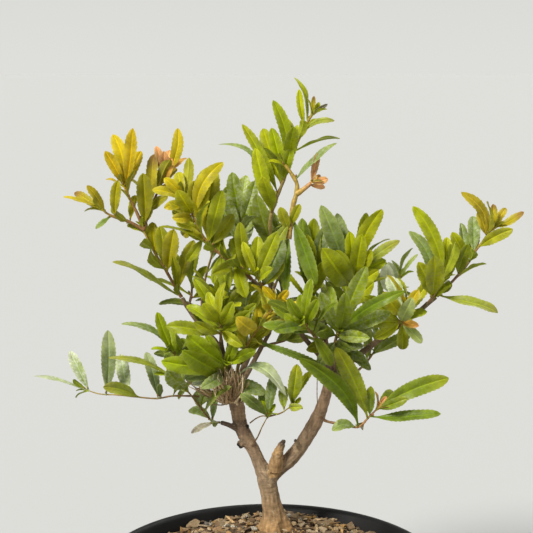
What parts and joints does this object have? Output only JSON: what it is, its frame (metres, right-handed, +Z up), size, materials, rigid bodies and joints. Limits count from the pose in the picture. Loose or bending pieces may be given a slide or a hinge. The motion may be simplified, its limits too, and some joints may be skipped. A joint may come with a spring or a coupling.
{
  "type": "potted broad-leaved bonsai",
  "caption": "Small bonsai tree with a forked trunk and toothed evergreen leaves, planted in a round plastic nursery pan filled with soil chips.",
  "frame": {"origin": "middle of the pan's flat underside, on the surface it stands on", "axes": "+Z up, +X to the viewer's right, +Y away from the viewer of the tree's front"},
  "size_m": [0.2844, 0.241, 0.3858],
  "materials": {
    "pan_plastic": "matte",
    "soil_chips": "matte",
    "bark": "matte",
    "leaf_mature": "gloss",
    "leaf_fresh": "satin",
    "leaf_young": "satin"
  },
  "bodies": {
    "root": {"pan": "pan_plastic", "soil": "soil_chips", "trunk_and_limbs": "bark", "shoot_low_left": "leaf_mature", "shoot_low_twig": "leaf_mature", "shoot_left_crown": "leaf_mature", "shoot_left_leader": "leaf_young", "shoot_leader_low": "leaf_fresh", "shoot_leader_mid": "leaf_fresh", "shoot_crown_front": "leaf_mature", "shoot_centre_yellow": "leaf_young", "shoot_diagonal": "leaf_fresh", "shoot_diagonal_low": "leaf_fresh", "shoot_riser": "leaf_young", "shoot_riser_top": "leaf_fresh", "shoot_centre_back_a": "leaf_mature", "shoot_centre_back_b": "leaf_mature", "shoot_left_back": "leaf_mature", "shoot_right_rosette": "leaf_mature", "shoot_right_crown": "leaf_fresh", "shoot_right_inner": "leaf_fresh", "shoot_front_right": "leaf_mature", "shoot_front_left": "leaf_fresh", "shoot_far_back": "leaf_mature", "shoot_far_back_left": "leaf_mature", "shoot_far_back_right": "leaf_mature", "shoot_right_back": "leaf_fresh", "shoot_right_back_out": "leaf_mature", "shoot_right_branch_low": "leaf_fresh", "shoot_right_branch_mid": "leaf_fresh", "shoot_right_tip": "leaf_fresh", "shoot_low_right": "leaf_mature", "shoot_low_centre": "leaf_mature", "shoot_back_low": "leaf_mature", "shoot_back_right_low": "leaf_mature"}
  },
  "joints": []
}
